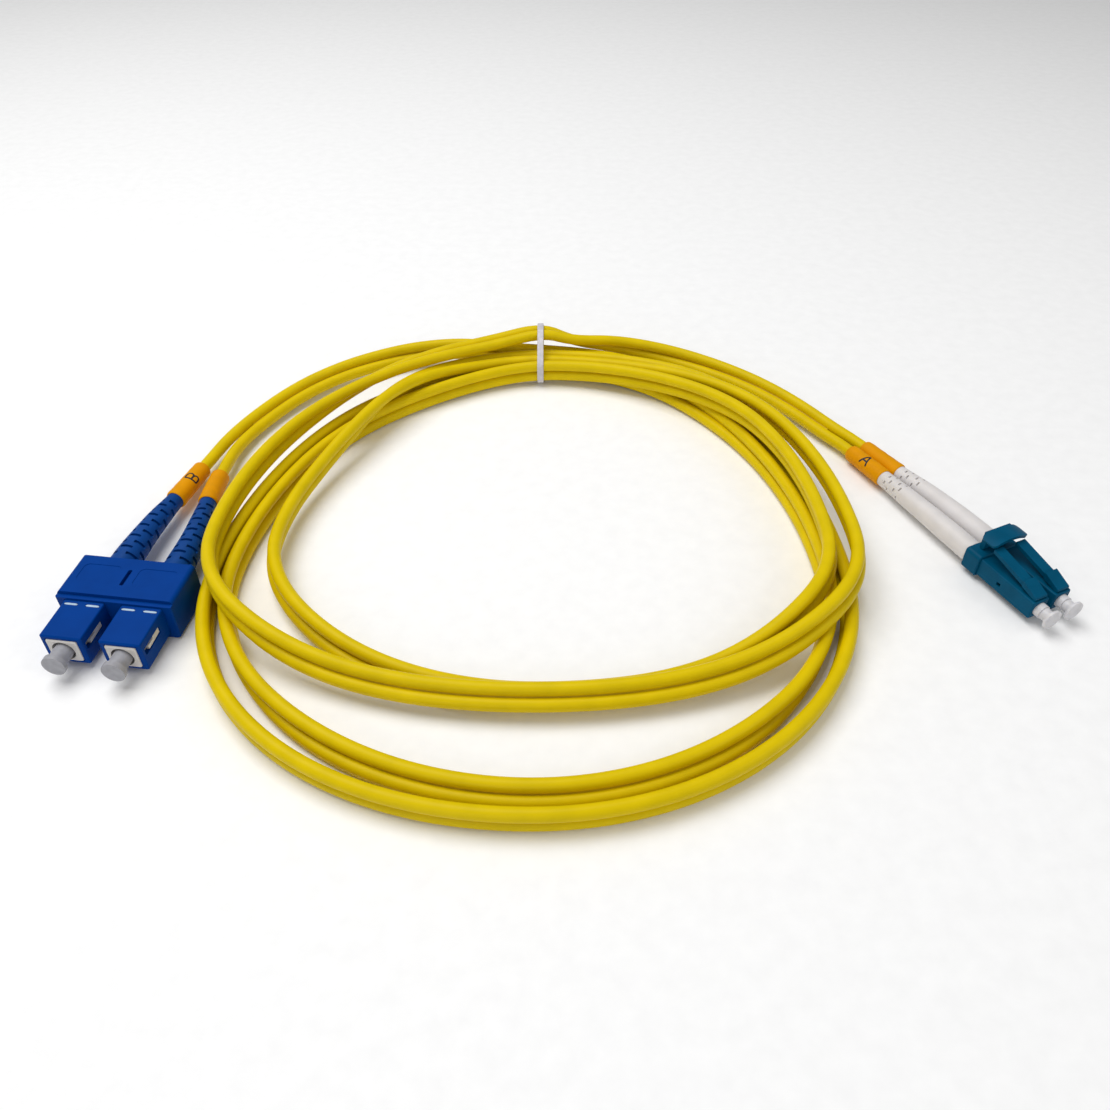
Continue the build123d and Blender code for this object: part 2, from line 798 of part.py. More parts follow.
def twist_tie():
    """The flat plastic tie round the bundle."""
    depth = ARM_Y + JACKET / 2 + 0.2 - BUNDLE_FRONT
    height = BUNDLE_TOP - COIL_LIFT
    middle = (BUNDLE_FRONT + depth / 2, COIL_LIFT + height / 2)
    with BuildPart() as piece:
        with BuildSketch(Plane.YZ.offset(TIE_X - TIE_WIDTH / 2)):
            with Locations(middle):
                RectangleRounded(depth + 2 * TIE_THICKNESS, height + 2 * TIE_THICKNESS, 1.0)
                Rectangle(depth, height, mode=Mode.SUBTRACT)
        extrude(amount=TIE_WIDTH)
    save(piece, "twist_tie")


coil()
twist_tie()
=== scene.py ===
"""The looks of the duplex LC to SC patch cord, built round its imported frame. Lengths are in metres."""

from math import copysign, cos, pi, radians, sin

import bmesh
import bpy
import numpy as np
from mathutils import Matrix, Vector


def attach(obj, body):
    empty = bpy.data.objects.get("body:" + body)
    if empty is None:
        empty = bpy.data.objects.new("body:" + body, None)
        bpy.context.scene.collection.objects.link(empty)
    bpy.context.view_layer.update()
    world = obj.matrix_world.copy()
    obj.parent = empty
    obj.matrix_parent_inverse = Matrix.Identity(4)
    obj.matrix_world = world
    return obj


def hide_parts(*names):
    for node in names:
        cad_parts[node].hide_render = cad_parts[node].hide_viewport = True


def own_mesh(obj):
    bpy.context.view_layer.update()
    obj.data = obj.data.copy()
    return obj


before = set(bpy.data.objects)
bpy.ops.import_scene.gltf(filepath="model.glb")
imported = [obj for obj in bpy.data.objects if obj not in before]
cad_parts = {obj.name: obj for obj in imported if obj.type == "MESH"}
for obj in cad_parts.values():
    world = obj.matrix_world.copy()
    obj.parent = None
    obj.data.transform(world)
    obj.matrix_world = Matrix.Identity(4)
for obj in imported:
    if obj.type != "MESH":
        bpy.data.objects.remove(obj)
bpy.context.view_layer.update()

# ---------------------------------------------------------------------------------------------
# Sizes, as in the CAD model
# ---------------------------------------------------------------------------------------------

MM = 0.001
JACKET = 3.0 * MM
PAIR_STEP = 3.1 * MM
SC_PITCH = 12.7 * MM
LC_PITCH = 6.25 * MM

TIE_X = -8.4 * MM
TIE_Y = 86.8 * MM
TIE_WIDTH = 1.8 * MM

# How far a marker sleeve reaches over its boot's tail.
SLEEVE_LAP = 1.5 * MM


def plug_end(x, y, z, heading):
    """The frame of a connector pair: x to its left, y up and z forward."""
    turn = radians(heading)
    left = Vector((-sin(turn), cos(turn), 0))
    forward = Vector((cos(turn), sin(turn), 0))
    turned = Matrix((left, (0, 0, 1), forward)).transposed().to_4x4()
    return Matrix.Translation((x, y, z)) @ turned


SC_END = plug_end(-98.4 * MM, -29.6 * MM, 5.0 * MM, -97.8)
LC_END = plug_end(103.0 * MM, -14.4 * MM, 3.9 * MM, -65.0)


def spot(end, along, lateral=0.0, up=0.0):
    """A point of a connector pair, in metres, from millimetres along, across and over it."""
    return end @ Vector((lateral * MM, up * MM, along * MM))


# ---------------------------------------------------------------------------------------------
# Camera, light and floor
# ---------------------------------------------------------------------------------------------

# The camera looks straight ahead in x. Its lens and film are in millimetres, and it looks down by
# so many degrees.
CAMERA_PLACE = (-0.0042, -0.1637, 0.1527)
CAMERA_DOWN = 42
CAMERA_LENS = 31.5
CAMERA_FILM = 36.0
CAMERA_NEAREST = 5 * MM

# Each soft light: its place, its size and its power. All of them face the middle of the coil.
LIGHTS = {
    "key_light": ((-0.25, 0.15, 0.75), 0.60, 5.2),
    "side_light": ((0.60, -0.25, 0.45), 0.45, 0.8),
    "front_light": ((-0.20, -0.70, 0.35), 0.45, 1.0),
}
ROOM_BRIGHTNESS = 0.28

# The floor is a hair below the cord, so that their faces don't coincide.
FLOOR_REACH = 3.0
FLOOR_DROP = 0.05 * MM


def add_camera():
    """The camera stands in front of the coil and looks down on it."""
    data = bpy.data.cameras.new("camera")
    data.lens = CAMERA_LENS
    data.sensor_width = CAMERA_FILM
    data.clip_start = CAMERA_NEAREST
    camera = bpy.data.objects.new("camera", data)
    camera.location = CAMERA_PLACE
    camera.rotation_euler = (radians(90 - CAMERA_DOWN), 0, 0)
    bpy.context.scene.collection.objects.link(camera)
    bpy.context.scene.camera = camera


def add_area_light(name, place, size, power):
    """A square soft light that faces the middle of the coil."""
    data = bpy.data.lights.new(name, "AREA")
    data.shape = "SQUARE"
    data.size = size
    data.energy = power
    light = bpy.data.objects.new(name, data)
    light.location = place
    facing = -Vector(place)
    light.rotation_euler = facing.to_track_quat("-Z", "Y").to_euler()
    bpy.context.scene.collection.objects.link(light)


def add_lights():
    """One large soft light above, weaker ones at the right and in front, and a bright room."""
    bpy.context.scene.view_settings.view_transform = "Standard"
    for name, (place, size, power) in LIGHTS.items():
        add_area_light(name, place, size, power)
    world = bpy.data.worlds.new("studio")
    world.use_nodes = True
    background = world.node_tree.nodes["Background"]
    background.inputs["Color"].default_value = (1.0, 1.0, 1.0, 1.0)
    background.inputs["Strength"].default_value = ROOM_BRIGHTNESS
    bpy.context.scene.world = world


def add_floor():
    """A plain pale floor."""
    mesh = bpy.data.meshes.new("floor")
    shape = bmesh.new()
    bmesh.ops.create_grid(shape, x_segments=1, y_segments=1, size=FLOOR_REACH)
    shape.to_mesh(mesh)
    shape.free()
    floor = bpy.data.objects.new("floor", mesh)
    floor.location = (0, 0, -FLOOR_DROP)
    bpy.context.scene.collection.objects.link(floor)
    mesh.materials.append(surface("floor_paint", (0.95, 0.95, 0.95), roughness=0.7, mottle=0.02))


# ---------------------------------------------------------------------------------------------
# Materials
# ---------------------------------------------------------------------------------------------

# How far light goes in a soft plastic, and how much of red, green and blue; how deep a grain is.
SOFT_DEPTH = 1.2 * MM
SOFT_COLOURS = (1.0, 0.9, 0.7)
GRAIN_DEPTH = 0.05 * MM

# Where the noise turns from the darker to the lighter shade, and the least roughness.
SHADE_EDGES = (0.3, 0.7)
SMOOTHEST = 0.02


def surface(
    name,
    color,
    roughness=0.4,
    mottle=0.08,
    mottle_size=0.004,
    grain=0.0,
    grain_size=0.0004,
    uneven=0.05,
    metallic=0.0,
    soft=0.0,
    specular=0.5,
    anisotropic=0.0,
):
    """A moulded, drawn or turned surface: mottled colour, uneven gloss and a fine grain."""
    material = bpy.data.materials.new(name)
    material.use_nodes = True
    tree = material.node_tree
    shader = tree.nodes["Principled BSDF"]
    shader.inputs["Metallic"].default_value = metallic
    shader.inputs["Specular IOR Level"].default_value = specular
    shader.inputs["Anisotropic"].default_value = anisotropic
    if soft:
        shader.inputs["Subsurface Weight"].default_value = soft
        shader.inputs["Subsurface Radius"].default_value = SOFT_COLOURS
        shader.inputs["Subsurface Scale"].default_value = SOFT_DEPTH

    place = tree.nodes.new("ShaderNodeTexCoord")
    clouds = noise(tree, place, 1 / mottle_size, 4.0)
    shades = tree.nodes.new("ShaderNodeValToRGB")
    darker, lighter = shades.color_ramp.elements
    darker.position, lighter.position = SHADE_EDGES
    darker.color = (*[c * (1 - mottle) for c in color], 1)
    lighter.color = (*[min(1.0, c * (1 + mottle)) for c in color], 1)
    tree.links.new(clouds.outputs["Fac"], shades.inputs["Fac"])
    tree.links.new(shades.outputs["Color"], shader.inputs["Base Color"])

    smears = noise(tree, place, 0.4 / mottle_size, 3.0)
    gloss = tree.nodes.new("ShaderNodeMapRange")
    gloss.inputs["To Min"].default_value = max(SMOOTHEST, roughness - uneven)
    gloss.inputs["To Max"].default_value = roughness + uneven
    tree.links.new(smears.outputs["Fac"], gloss.inputs["Value"])
    tree.links.new(gloss.outputs["Result"], shader.inputs["Roughness"])

    if grain:
        pits = noise(tree, place, 1 / grain_size, 6.0)
        bump = tree.nodes.new("ShaderNodeBump")
        bump.inputs["Strength"].default_value = grain
        bump.inputs["Distance"].default_value = GRAIN_DEPTH
        tree.links.new(pits.outputs["Fac"], bump.inputs["Height"])
        tree.links.new(bump.outputs["Normal"], shader.inputs["Normal"])
    return material


def noise(tree, place, scale, detail):
    """A noise texture fixed to the object."""
    texture = tree.nodes.new("ShaderNodeTexNoise")
    texture.inputs["Scale"].default_value = scale
    texture.inputs["Detail"].default_value = detail
    tree.links.new(place.outputs["Object"], texture.inputs["Vector"])
    return texture


add_camera()
add_lights()
add_floor()

YELLOW = surface(
    "yellow_jacket_pvc", (0.70, 0.515, 0.0), roughness=0.42, mottle=0.05, mottle_size=0.006,
    grain=0.25, grain_size=0.0006, specular=0.10,
)
YELLOW_WEB = surface(
    "yellow_web_pvc", (0.52, 0.35, 0.0), roughness=0.5, mottle=0.08, grain=0.2, specular=0.2
)
ORANGE = surface(
    "orange_shrink_sleeve", (0.72, 0.30, 0.0), roughness=0.55, mottle=0.06, mottle_size=0.003,
    grain=0.4, grain_size=0.0005, specular=0.08,
)
BLUE = surface(
    "blue_housing_plastic", (0.0, 0.042, 0.25), roughness=0.45, mottle=0.06, mottle_size=0.005,
    grain=0.25, grain_size=0.0003, specular=0.04,
)
BLUE_BOOT = surface(
    "blue_boot_plastic", (0.0, 0.05, 0.24), roughness=0.5, mottle=0.10, mottle_size=0.003,
    grain=0.35, grain_size=0.0004, specular=0.15,
)
TEAL = surface(
    "teal_housing_plastic", (0.0, 0.072, 0.145), roughness=0.40, mottle=0.10, mottle_size=0.004,
    grain=0.25, grain_size=0.0003, specular=0.06,
)
WHITE_BOOT = surface(
    "white_boot_plastic", (0.69, 0.66, 0.65), roughness=0.5, mottle=0.04, mottle_size=0.004,
    grain=0.3, grain_size=0.0005, soft=0.15,
)
WHITE_FRAME = surface(
    "white_frame_plastic", (0.66, 0.63, 0.60), roughness=0.42, mottle=0.06, mottle_size=0.002,
    grain=0.25, grain_size=0.0003, soft=0.1,
)
SC_CAP = surface(
    "grey_cap_plastic", (0.32, 0.32, 0.35), roughness=0.5, mottle=0.12, mottle_size=0.0015,
    grain=0.35, grain_size=0.0004, soft=0.2,
)
LC_CAP = surface(
    "white_cap_plastic", (0.62, 0.61, 0.63), roughness=0.45, mottle=0.08, mottle_size=0.0015,
    grain=0.3, grain_size=0.0004, soft=0.25,
)
TIE = surface(
    "tie_plastic", (0.58, 0.56, 0.60), roughness=0.35, mottle=0.10, mottle_size=0.001,
    grain=0.3, grain_size=0.0003, soft=0.2,
)
NICKEL = surface(
    "nickel_plate", (0.62, 0.61, 0.58), roughness=0.28, mottle=0.06, mottle_size=0.001,
    grain=0.15, grain_size=0.0002, metallic=1.0, anisotropic=0.4,
)
BRASS = surface(
    "crimped_brass", (0.62, 0.52, 0.33), roughness=0.35, mottle=0.12, mottle_size=0.001,
    grain=0.3, grain_size=0.0003, metallic=1.0,
)
WIRE = surface(
    "spring_wire", (0.50, 0.50, 0.51), roughness=0.25, mottle=0.08, mottle_size=0.0008,
    grain=0.1, grain_size=0.0002, metallic=1.0,
)
CERAMIC = surface(
    "zirconia", (0.88, 0.88, 0.85), roughness=0.12, mottle=0.02, mottle_size=0.001,
    grain=0.05, grain_size=0.0002, soft=0.1,
)
BUFFER = surface(
    "fibre_buffer_plastic", (0.82, 0.82, 0.80), roughness=0.35, mottle=0.03, mottle_size=0.001,
    grain=0.1, grain_size=0.0003,
)
# Painted highlight: this pale blue, on the bars on top of the SC grips, stands in for light glinting off
# the grip's ribs.
PAINTED_HIGHLIGHT = surface(
    "grip_painted_highlight", (0.42, 0.55, 0.68), roughness=0.5, mottle=0.1, mottle_size=0.001,
    grain=0.3, grain_size=0.0002,
)
INK = surface("black_ink", (0.012, 0.010, 0.010), roughness=0.6, mottle=0.3, grain=0.2)

NODE_MATERIALS = {
    "sc_outer_housing": BLUE,
    "sc_duplex_clip": BLUE,
    "sc_plug_frame": WHITE_FRAME,
    "sc_dust_cap": SC_CAP,
    "sc_stop_ring": NICKEL,
    "sc_crimp_sleeve": BRASS,
    "sc_ferrule_flange": NICKEL,
    "sc_ferrule": CERAMIC,
    "sc_buffered_fibre": BUFFER,
    "lc_housing": TEAL,
    "lc_latch": TEAL,
    "lc_duplex_clip": TEAL,
    "lc_trigger": TEAL,
    "lc_dust_cap": LC_CAP,
    "lc_backbone": WHITE_FRAME,
    "lc_crimp_sleeve": BRASS,
    "lc_ferrule_flange": NICKEL,
    "lc_ferrule": CERAMIC,
    "lc_buffered_fibre": BUFFER,
}


def dress_cad_nodes():
    """Gives every CAD node that stays its own finish."""
    for name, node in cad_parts.items():
        kind = name.removesuffix("_a").removesuffix("_b")
        if kind in NODE_MATERIALS:
            node.data.materials.clear()
            node.data.materials.append(NODE_MATERIALS[kind])


dress_cad_nodes()

# ---------------------------------------------------------------------------------------------
# The cord
# ---------------------------------------------------------------------------------------------

# The route of each jacket inside its boot and sleeve: millimetres along, across and over its plugs.
SC_ROUTES = {
    "a": [
        (-23.0, -6.35, 0),
        (-31.0, -6.35, 0),
        (-42.0, -5.95, -0.25),
        (-52.0, -5.0, -0.8),
        (-68.0, -4.1, -1.8),
    ],
    "b": [
        (-23.0, 6.35, 0),
        (-31.0, 6.35, 0),
        (-42.0, 4.9, -0.25),
        (-52.0, 2.8, -0.8),
        (-68.0, 0.7, -1.8),
    ],
}
LC_ROUTES = {
    "a": [
        (-23.0, -3.125, 0),
        (-31.0, -3.125, 0),
        (-42.0, -3.05, -0.2),
        (-53.0, -2.9, -0.6),
        (-67.5, -2.85, -1.2),
    ],
    "b": [
        (-23.0, 3.125, 0),
        (-31.0, 3.125, 0),
        (-42.0, 2.7, -0.2),
        (-53.0, 1.8, -0.6),
        (-67.5, 1.5, -1.2),
    ],
}

# A point of each SC jacket between its sleeve and the arm.
SC_LEGS = {"a": [(-0.0904, 0.0487, 0.0035)], "b": [(-0.0873, 0.0472, 0.0027)]}

# The middle of the pair of jackets in each arm, from the tie outwards: x, y, z, and the lean of
# the pair in degrees, from one jacket over the other (0) towards the outside of the bend.
SC_ARM = [
    (-0.0177, 0.0913, 0.0042, 0),
    (-0.0310, 0.0928, 0.0049, 15),
    (-0.0450, 0.0912, 0.0045, 30),
    (-0.0570, 0.0864, 0.0041, 45),
    (-0.0672, 0.0802, 0.0037, 55),
    (-0.0766, 0.0710, 0.0033, 60),
    (-0.0842, 0.0588, 0.0030, 60),
]
LC_ARM = [
    (0.0009, 0.0897, 0.0090, -60),
    (0.0135, 0.0912, 0.0072, -20),
    (0.0272, 0.0888, 0.0054, 15),
    (0.0400, 0.0830, 0.0044, 40),
    (0.0518, 0.0744, 0.0039, 55),
    (0.0614, 0.0638, 0.0035, 60),
    (0.0692, 0.0518, 0.0032, 65),
]

# The five places that the pair takes in the tie, one after each loop: how far back, height, lean.
SLOTS = [
    (0.0045, 0.0041, 0),
    (0.0000, 0.0024, 90),
    (-0.0045, 0.0041, 0),
    (0.0000, 0.0054, -90),
    (0.0016, 0.0084, -90),
]

# The four loops in the order that they are wound. Each side is x, y of its widest point, height,
# lean, and how flat the quarters behind and before that point are (a circle's is 1, and a fuller
# one is less); the front is y, height and lean.
LOOPS = [
    {
        "right": (0.0608, -0.0048, 0.0031, 8, 0.94, 0.99),
        "front": (-0.0676, 0.00305, 7),
        "left": (-0.0806, -0.0068, 0.0031, 5, 1.07, 0.97),
    },
    {
        "right": (0.0569, -0.0028, 0.0031, 8, 1.00, 1.00),
        "front": (-0.0622, 0.0027, -42),
        "left": (-0.0774, -0.0028, 0.0031, 5, 1.07, 1.02),
    },
    {
        "right": (0.0575, 0.0032, 0.0094, -15, 0.95, 0.94),
        "front": (-0.0394, 0.0027, -42),
        "left": (-0.0690, 0.0060, 0.0050, -13, 1.07, 1.04),
    },
    {
        "right": (0.0637, 0.0022, 0.0094, -15, 0.95, 0.94),
        "front": (-0.0414, 0.0050, -42),
        "left": (-0.0814, 0.0022, 0.0094, 0, 1.03, 0.95),
    },
]
POINTS_PER_LOOP = 32

# How far towards the tie or the front of a loop its height and lean start to change, and over how
# much of the way they do.
CHANGE_START = 0.45
CHANGE_TO_TIE = 0.55
CHANGE_TO_FRONT = 0.5

# How far apart the loops settle, and how much of the pair on each side of a point counts as the
# same stretch, in points. Where two lines cross, they are taken as a hair apart.
APART = 3.2 * MM
SETTLE_STEPS = 120
OWN_STRETCH = 5
HAIR = 0.05 * MM
OUT_OF_REACH = 1.0

# A point that takes several pushes in one step moves by less than their sum: it is divided by
# these weights where they come to more than 1. Then the moves are evened out along the pair.
FIRST_WEIGHT = 0.2
PUSH_WEIGHT = 0.5
EVENINGS = 2

# The tie passes under the bundle and holds it off the floor, which fades out along the bundle.
TIE_LIFT = 0.9 * MM
LIFTED_REACH = 60 * MM


def ease(share):
    """A smooth step from 0 to 1."""
    share = max(0.0, min(1.0, share))
    return share * share * (3 - 2 * share)


def mix(start, end, share):
    """The value a share of the way from the start to the end."""
    return start + (end - start) * share


def loop_point(number, turn):
    """The middle of the pair in one loop, a share of a turn from the tie: place and lean."""
    loop = LOOPS[number]
    across = sin(2 * pi * turn)
    back = cos(2 * pi * turn)
    on_right = turn < 0.5
    side_x, side_y, side_z, side_lean, behind, before = loop["right" if on_right else "left"]
    slot_back, slot_z, slot_lean = SLOTS[number] if on_right else SLOTS[number + 1]
    front_y, front_z, front_lean = loop["front"]
    if back > 0:
        x = mix(TIE_X, side_x, abs(across) ** behind)
        y = mix(side_y, TIE_Y + slot_back, back**behind)
        share = ease((back - CHANGE_START) / CHANGE_TO_TIE)
        return Vector((x, y, mix(side_z, slot_z, share))), mix(side_lean, slot_lean, share)
    x = mix(TIE_X, side_x, abs(across) ** before)
    y = mix(side_y, front_y, abs(back) ** before)
    share = ease((abs(back) - CHANGE_START) / CHANGE_TO_FRONT)
    return Vector((x, y, mix(side_z, front_z, share))), mix(side_lean, front_lean, share)


def lowest_middle(lean):
    """How high the middle of the pair is when its lower jacket lies on the floor."""
    return JACKET / 2 + PAIR_STEP / 2 * abs(cos(radians(lean)))


def resting(place, lean):
    """A middle of the pair, raised if its lower jacket would sink into the floor."""
    return Vector((place.x, place.y, max(place.z, lowest_middle(lean)))), lean


def pair_middle():
    """The middle of the pair from the SC arm, round the coil, to the LC arm: places and leans."""
    places = [(Vector(point[:3]), point[3]) for point in reversed(SC_ARM)]
    for number in range(len(LOOPS)):
        for step in range(POINTS_PER_LOOP):
            places.append(loop_point(number, step / POINTS_PER_LOOP))
    back, height, lean = SLOTS[-1]
    places.append((Vector((TIE_X, TIE_Y + back, height)), lean))
    places += [(Vector(point[:3]), point[3]) for point in LC_ARM]
    return [resting(place, lean) for place, lean in places]


def jacket_points(middle, side):
    """One jacket's points beside the middle of the pair; side is 1 or -1."""
    points = []
    for number, (place, lean) in enumerate(middle):
        before = middle[max(0, number - 1)][0]
        after = middle[min(len(middle) - 1, number + 1)][0]
        run = (after - before).xy.normalized()
        outward = Vector((-run.y, run.x, 0))
        tilt = radians(lean)
        offset = outward * sin(tilt) + Vector((0, 0, cos(tilt)))
        points.append(place + offset * (side * PAIR_STEP / 2))
    return points


def pushes(samples, sample_index, runs_from, reach):
    """How far each sample has to move to clear the nearest run of a jacket that isn't its own
    stretch: the pushes, the numbers of those runs, and the share along each run."""
    starts = runs_from[:-1]
    spans = runs_from[1:] - starts
    offset = samples[:, None] - starts[None]
    share = np.clip((offset * spans).sum(2) / (spans**2).sum(1), 0, 1)
    apart = offset - share[:, :, None] * spans
    distance = np.sqrt((apart**2).sum(2))
    near = np.abs(sample_index[:, None] - np.arange(len(starts)) - 0.5) < OWN_STRETCH
    distance[near] = OUT_OF_REACH
    run = distance.argmin(1)
    rows = np.arange(len(samples))
    gap = np.maximum(distance[rows, run], HAIR)
    push = apart[rows, run] / gap[:, None] * np.maximum(reach - gap, 0)[:, None]
    return push, run, share[rows, run]


def settle(middle):
    """Parts the coil's loops wherever a jacket would pass through another one, as they do when
    they lie on each other. The two jackets of the pair stay together, and the arms stay put."""
    places = np.array([tuple(place) for place, _ in middle])
    leans = [lean for _, lean in middle]
    lowest = np.array([lowest_middle(lean) for lean in leans])
    count = len(places)
    corners = np.arange(count)
    index = np.concatenate([corners, corners[:-1] + 0.5])
    for _ in range(SETTLE_STEPS):
        rows = [(Vector(place), lean) for place, lean in zip(places, leans)]
        jackets = [np.array([tuple(p) for p in jacket_points(rows, side)]) for side in (1, -1)]
        moved = np.zeros((count, 3))
        weight = np.full((count, 1), FIRST_WEIGHT)
        for jacket in jackets:
            samples = np.concatenate([jacket, (jacket[:-1] + jacket[1:]) / 2])
            for other in jackets:
                push, run, share = pushes(samples, index, other, APART)
                hit = (push**2).sum(1) > 0
                for number in np.flatnonzero(hit):
                    half = push[number] / 2
                    for place, part in (
                        (int(index[number]), half),
                        (int(index[number] + 0.5), half),
                        (run[number], -half * (1 - share[number])),
                        (run[number] + 1, -half * share[number]),
                    ):
                        moved[place] += part
                        weight[place] += PUSH_WEIGHT
        moved /= np.maximum(weight, 1.0)
        for _ in range(EVENINGS):
            moved[1:-1] = (moved[:-2] + 2 * moved[1:-1] + moved[2:]) / 4
        moved[: len(SC_ARM)] = 0
        moved[count - len(LC_ARM) :] = 0
        places += moved
        from_tie = np.hypot(places[:, 0] - TIE_X, places[:, 1] - TIE_Y)
        lift = TIE_LIFT * np.maximum(0, 1 - from_tie / LIFTED_REACH)
        places[:, 2] = np.maximum(places[:, 2], lowest + lift)
    return [(Vector(place), lean) for place, lean in zip(places, leans)]


# How finely a cord's curve is drawn, along it and round it.
CORD_STEPS = 6


def add_nurbs(name, points, radius, material):
    """A round cord on one smooth curve."""
    curve = bpy.data.curves.new(name, "CURVE")
    curve.dimensions = "3D"
    spline = curve.splines.new("NURBS")
    spline.points.add(len(points) - 1)
    for control, place in zip(spline.points, points):
        control.co = (*place, 1)
    spline.order_u = 3
    spline.use_endpoint_u = True
    spline.resolution_u = CORD_STEPS
    curve.resolution_u = CORD_STEPS
    curve.bevel_depth = radius
    curve.bevel_resolution = CORD_STEPS
    curve.use_fill_caps = True
    curve.materials.append(material)
    cord = bpy.data.objects.new(name, curve)
    bpy.context.scene.collection.objects.link(cord)
    return cord


def centre_line(cord):
    """The points along a cord's smooth curve."""
    bare = cord.copy()
    bare.data = cord.data.copy()
    bare.data.bevel_depth = 0
    bare.data.use_fill_caps = False
    bpy.context.scene.collection.objects.link(bare)
    bpy.context.view_layer.update()
    graph = bpy.context.evaluated_depsgraph_get()
    mesh = bpy.data.meshes.new_from_object(bare.evaluated_get(graph))
    points = [v.co.copy() for v in mesh.vertices]
    bpy.data.objects.remove(bare)
    bpy.data.meshes.remove(mesh)
    return points


class Line:
    """Places along a smooth line, by distance from its start."""

    reach = 0.5 * MM

    def __init__(self, points):
        self.points = points
        self.marks = [0.0]
        for before, after in zip(points, points[1:]):
            self.marks.append(self.marks[-1] + (after - before).length)

    def place(self, distance):
        """The place at a distance; beyond the ends the line runs on straight."""
        step = 0
        while step < len(self.points) - 2 and self.marks[step + 1] < distance:
            step += 1
        share = (distance - self.marks[step]) / (self.marks[step + 1] - self.marks[step])
        return self.points[step].lerp(self.points[step + 1], share)

    def section(self, distance):
        """The plane across the line: its centre, the way to its right and the way up."""
        ahead = self.place(distance + self.reach) - self.place(distance - self.reach)
        ahead.normalize()
        right = ahead.cross(Vector((0, 0, 1))).normalized()
        return self.place(distance), right, right.cross(ahead)


MIDDLE = settle(pair_middle())

# The plugs that each jacket joins, SC and LC, by its side of the pair.
CORD_ENDS = {1: ("a", "b"), -1: ("b", "a")}
cords = {}
for side, (sc_letter, lc_letter) in CORD_ENDS.items():
    points = [spot(SC_END, *step) for step in SC_ROUTES[sc_letter]]
    points += [Vector(step) for step in SC_LEGS[sc_letter]]
    points += jacket_points(MIDDLE, side)
    points += [spot(LC_END, *step) for step in reversed(LC_ROUTES[lc_letter])]
    cords[side] = add_nurbs(f"jacket_{sc_letter}", points, JACKET / 2, YELLOW)
LINES = {side: centre_line(cord) for side, cord in cords.items()}

# Each plug's jacket, from inside the plug outwards.
PLUG_LINES = {}
for side, (sc_letter, lc_letter) in CORD_ENDS.items():
    PLUG_LINES[f"sc_{sc_letter}"] = Line(LINES[side])
    PLUG_LINES[f"lc_{lc_letter}"] = Line(LINES[side][::-1])

# ---------------------------------------------------------------------------------------------
# Mesh work
# ---------------------------------------------------------------------------------------------


def add_mesh(name, points, faces, material, sharp=35):
    """A smooth shaded mesh with its sharp edges kept."""
    mesh = bpy.data.meshes.new(name)
    mesh.from_pydata([tuple(p) for p in points], [], faces)
    mesh.validate()
    shape = bmesh.new()
    shape.from_mesh(mesh)
    bmesh.ops.recalc_face_normals(shape, faces=shape.faces)
    shape.to_mesh(mesh)
    shape.free()
    mesh.shade_smooth()
    mesh.set_sharp_from_angle(angle=radians(sharp))
    mesh.materials.append(material)
    piece = bpy.data.objects.new(name, mesh)
    bpy.context.scene.collection.objects.link(piece)
    return piece


def skin(rings, closed):
    """Points and faces over a row of rings: closed joins the last ring to the first, or else the
    two ends are capped."""
    count = len(rings[0])
    points = [point for ring in rings for point in ring]
    faces = []
    spans = len(rings) if closed else len(rings) - 1
    for span in range(spans):
        this = span * count
        following = ((span + 1) % len(rings)) * count
        for step in range(count):
            beside = (step + 1) % count
            faces.append((this + step, this + beside, following + beside, following + step))
    if not closed:
        faces.append(tuple(range(count)))
        faces.append(tuple(range(len(points) - count, len(points))))
    return points, faces


def around(section, radius_at, angles):
    """One ring round a line."""
    centre, right, up = section
    ring = []
    for angle in angles:
        radius = radius_at(angle)
        ring.append(centre + right * (radius * sin(angle)) + up * (radius * cos(angle)))
    return ring


# ---------------------------------------------------------------------------------------------
# Boots
# ---------------------------------------------------------------------------------------------

BOOT_BORE = 1.55 * MM
BOOT_RINGS = 40
BOOT_CORNERS = 64
BORE_SHARES = (1.0, 0.75, 0.5, 0.25, 0.0)

# How wide a slot's edge is along the boot and round it, and how far the evenly placed rings keep
# from a slot.
SLOT_EDGE = 0.03 * MM
SLOT_EDGE_TURN = 0.02
SLOT_CLEAR = 0.2 * MM
SLOT_CLEAR_TURN = 0.03

# A boot tapers between the rows of its table, mostly straight and a little eased.
TAPER_EASE = 0.3


def profile(table, place):
    """The value at a place between the rows of a table of (place, value)."""
    for (start, first), (end, last) in zip(table, table[1:]):
        if place <= end:
            share = (place - start) / (end - start)
            return mix(first, last, mix(share, ease(share), TAPER_EASE))
    return table[-1][1]


def boot_marks(length, rows, width):
    """The places of a boot's rings: evenly along it, and close together at each slot's edges."""
    marks = {round(length * step / BOOT_RINGS, 7) for step in range(BOOT_RINGS + 1)}
    clear = width / 2 + SLOT_CLEAR
    for row in rows:
        marks -= {mark for mark in marks if abs(mark - row) < clear and 0 < mark < length}
        for edge in (-width / 2, width / 2):
            marks.add(row + edge)
            marks.add(row + edge + copysign(SLOT_EDGE, edge))
    return sorted(marks)


def turn_between(angle, other):
    """How far one angle is past another, from -pi to pi."""
    return (angle - other + pi) % (2 * pi) - pi


def boot_angles(slots, spread, turns):
    """The angles of a boot's rings, with a pair at each edge of each slot."""
    angles = {round(2 * pi * step / BOOT_CORNERS, 5) for step in range(BOOT_CORNERS)}
    borders = []
    for turn in turns:
        for slot in slots:
            borders += [(turn + slot + side * spread / 2, side) for side in (-1, 1)]
    for border, _ in borders:
        angles = {angle for angle in angles if abs(turn_between(angle, border)) > SLOT_CLEAR_TURN}
    for border, side in borders:
        for angle in (border, border + side * SLOT_EDGE_TURN):
            angles.add(round(angle % (2 * pi), 5))
    return sorted(angles)


